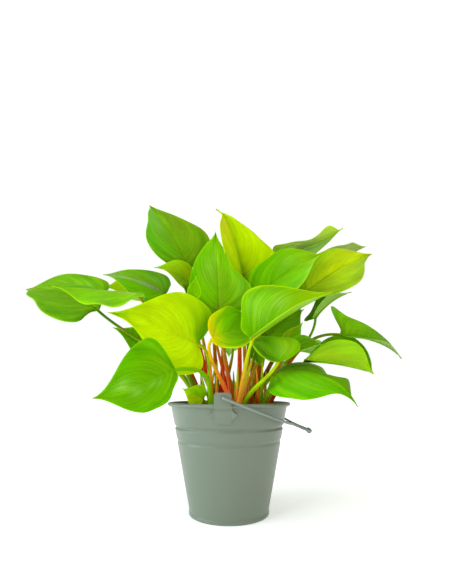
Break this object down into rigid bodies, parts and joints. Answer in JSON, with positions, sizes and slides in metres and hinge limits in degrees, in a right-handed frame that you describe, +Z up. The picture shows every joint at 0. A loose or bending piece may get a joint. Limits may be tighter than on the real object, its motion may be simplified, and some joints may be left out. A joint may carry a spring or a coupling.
{
  "type": "potted lemon lime philodendron",
  "caption": "Heart-leaved philodendron in lime and green, growing in a small tapered metal pail with two ears and a swinging wire bail.",
  "frame": {"origin": "centre of the pail's base, on the surface that it stands on", "axes": "+Z up; -Y is the front, where one bail ear is; the bail hangs down on the +X side"},
  "size_m": [0.4304, 0.2356, 0.3482],
  "materials": {
    "enamel": "satin",
    "bail_metal": "satin",
    "soil": "matte",
    "stalk": "satin",
    "leaf_lime": "gloss",
    "leaf_green": "gloss",
    "leaf_deep": "gloss"
  },
  "bodies": {
    "pail": {"pail_wall": "enamel", "pail_floor": "enamel", "ear_front": "enamel", "ear_back": "enamel", "potting_soil": "soil", "stem_front_left": "stalk", "stem_front": "stalk", "stem_front_right": "stalk", "stem_right": "stalk", "stem_back_right": "stalk", "stem_back_left": "stalk", "stem_left": "stalk", "stem_middle": "stalk", "leaf_crest_left": "leaf_deep", "leaf_centre": "leaf_green", "leaf_crest_lime": "leaf_lime", "leaf_crest_right": "leaf_green", "leaf_upper_right": "leaf_green", "leaf_right_lime": "leaf_lime", "leaf_right_back": "leaf_green", "leaf_front_right": "leaf_green", "leaf_front_small": "leaf_green", "leaf_front_lime": "leaf_lime", "leaf_front_low": "leaf_green", "leaf_far_left": "leaf_deep", "leaf_left_shelf": "leaf_green", "leaf_left_folded": "leaf_green", "leaf_left_inner": "leaf_lime", "leaf_left_hooked": "leaf_lime", "leaf_heart_shade": "leaf_deep", "leaf_heart_young": "leaf_green", "leaf_left_under": "leaf_green", "leaf_rim_young": "leaf_green", "leaf_right_low": "leaf_green", "leaf_right_keel": "leaf_lime", "leaf_far_right": "leaf_deep", "leaf_right_upper": "leaf_deep", "leaf_right_inner": "leaf_deep", "leaf_front_cupped": "leaf_lime", "leaf_right_tongue": "leaf_lime", "leaf_right_shade": "leaf_deep", "leaf_front_hanging": "leaf_deep", "leaf_back_left_high": "leaf_green", "leaf_back_high": "leaf_lime", "leaf_back_right_high": "leaf_green", "leaf_back_right_low": "leaf_deep", "leaf_back_left_far": "leaf_green", "leaf_back_left_low": "leaf_deep", "leaf_back_crest": "leaf_lime", "leaf_back_middle": "leaf_green", "leaf_back_low": "leaf_green"},
    "bail": {"bail_wire": "bail_metal", "bail_grip": "bail_metal"}
  },
  "joints": [
    {"name": "bail_swing", "type": "hinge", "parent": "pail", "child": "bail", "pos_m": [0, 0, 0.124], "axis": [-0.0872, -0.9962, 0], "range_deg": [0, 20]}
  ]
}
